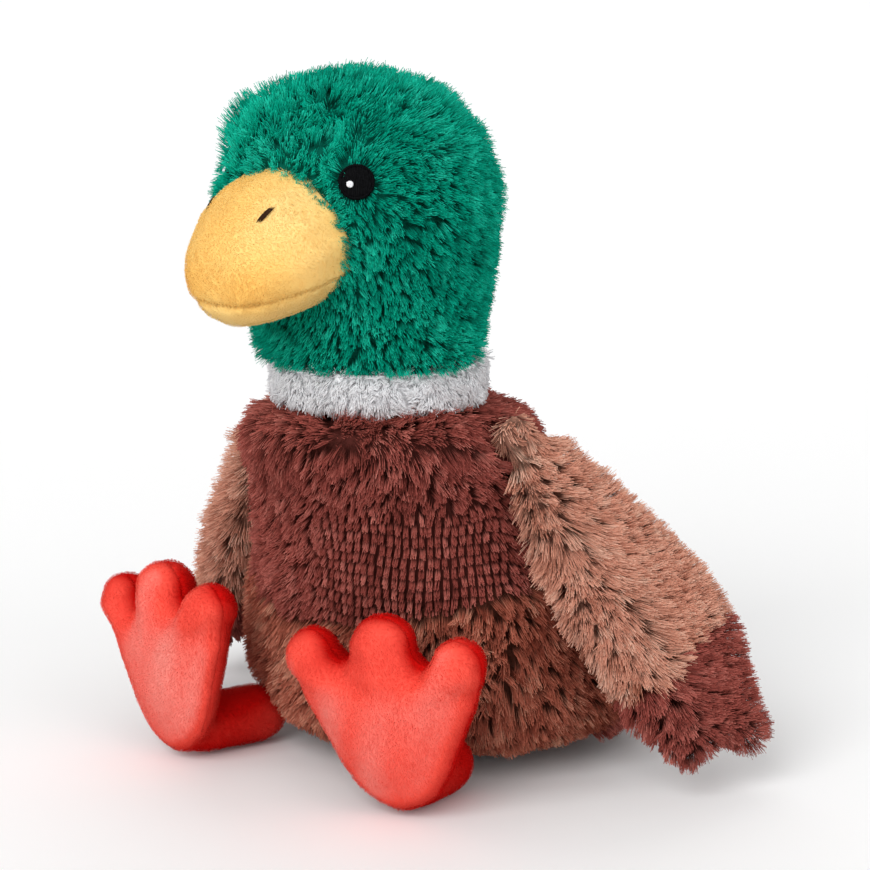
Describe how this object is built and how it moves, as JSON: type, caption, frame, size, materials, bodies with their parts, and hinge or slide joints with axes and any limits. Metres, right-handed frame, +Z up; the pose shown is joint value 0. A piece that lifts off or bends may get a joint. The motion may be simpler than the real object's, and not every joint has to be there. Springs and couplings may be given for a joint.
{
  "type": "heatable plush mallard duck",
  "caption": "Seated heatable plush duck with a green head, white collar, brown furry body, hanging wings, yellow bill and red webbed feet, warmed through a grain pouch sewn inside.",
  "frame": {"origin": "on the flat underside of the seat, under the middle of the torso's base", "axes": "+Z up from the seat to the crown, -Y the way the duck looks, +X the duck's left"},
  "size_m": [0.2764, 0.2614, 0.276],
  "materials": {
    "green_plush": "matte",
    "white_plush": "matte",
    "dark_plush": "matte",
    "tan_plush": "matte",
    "red_velour": "matte",
    "yellow_velour": "matte",
    "black_thread": "matte",
    "white_thread": "matte",
    "brown_thread": "matte",
    "fibre": "matte",
    "cotton": "matte",
    "grain": "matte"
  },
  "bodies": {
    "torso": {"seat_panel": "tan_plush", "belly_panel": "tan_plush", "chest_panel": "dark_plush", "back_left_panel": "dark_plush", "back_right_panel": "dark_plush", "chest_stuffing": "fibre", "heat_pouch_front": "cotton", "heat_pouch_back": "cotton", "grain_fill": "grain"},
    "neck": {"neck_collar": "white_plush", "neck_stuffing": "fibre"},
    "head": {"head_crown_panel": "green_plush", "head_stuffing": "fibre", "head_left_panel": "green_plush", "eye_left": "black_thread", "eye_glint_left": "white_thread", "head_right_panel": "green_plush", "eye_right": "black_thread", "eye_glint_right": "white_thread", "bill_upper_panel": "yellow_velour", "bill_lower_panel": "yellow_velour", "bill_stuffing": "fibre", "nostril_left": "brown_thread", "nostril_right": "brown_thread"},
    "wing_left": {"wing_left_outer_panel": "tan_plush", "wing_left_inner_panel": "tan_plush", "wing_left_outer_tip": "dark_plush", "wing_left_inner_tip": "dark_plush", "wing_left_stuffing": "fibre"},
    "wing_right": {"wing_right_outer_panel": "tan_plush", "wing_right_inner_panel": "tan_plush", "wing_right_outer_tip": "dark_plush", "wing_right_inner_tip": "dark_plush", "wing_right_stuffing": "fibre"},
    "leg_left": {"leg_left_upper": "red_velour", "leg_left_sole": "red_velour", "leg_left_stuffing": "fibre"},
    "leg_right": {"leg_right_upper": "red_velour", "leg_right_sole": "red_velour", "leg_right_stuffing": "fibre"},
    "tail": {"tail_upper_panel": "dark_plush", "tail_lower_panel": "dark_plush", "tail_stuffing": "fibre"}
  },
  "joints": [
    {"name": "neck_turn", "type": "hinge", "parent": "torso", "child": "neck", "pos_m": [0, -0.037, 0.164], "axis": [0, 0, 1], "range_deg": [-30, 30], "stiffness_Nm_per_rad": 0.5},
    {"name": "head_nod", "type": "hinge", "parent": "neck", "child": "head", "pos_m": [0, -0.037, 0.23209], "axis": [1, 0, 0], "range_deg": [-12, 12], "stiffness_Nm_per_rad": 1.5},
    {"name": "wing_left_flap", "type": "hinge", "parent": "torso", "child": "wing_left", "pos_m": [0.05674, -0.01898, 0.14269], "axis": [-0.0983, -0.9365, -0.3365], "range_deg": [0, 75]},
    {"name": "wing_right_flap", "type": "hinge", "parent": "torso", "child": "wing_right", "pos_m": [-0.05674, -0.01898, 0.14269], "axis": [-0.0983, 0.9365, 0.3365], "range_deg": [0, 75]},
    {"name": "leg_left_swing", "type": "hinge", "parent": "torso", "child": "leg_left", "pos_m": [0.04966, -0.05612, 0.013], "axis": [-0.9781, -0.2079, 0], "range_deg": [-45, 10]},
    {"name": "leg_right_swing", "type": "hinge", "parent": "torso", "child": "leg_right", "pos_m": [-0.04966, -0.05612, 0.013], "axis": [-0.9781, 0.2079, 0], "range_deg": [-45, 10]},
    {"name": "tail_flex", "type": "hinge", "parent": "torso", "child": "tail", "pos_m": [0, 0.09354, 0.04256], "axis": [1, 0, 0], "range_deg": [-20, 20], "stiffness_Nm_per_rad": 0.1}
  ]
}
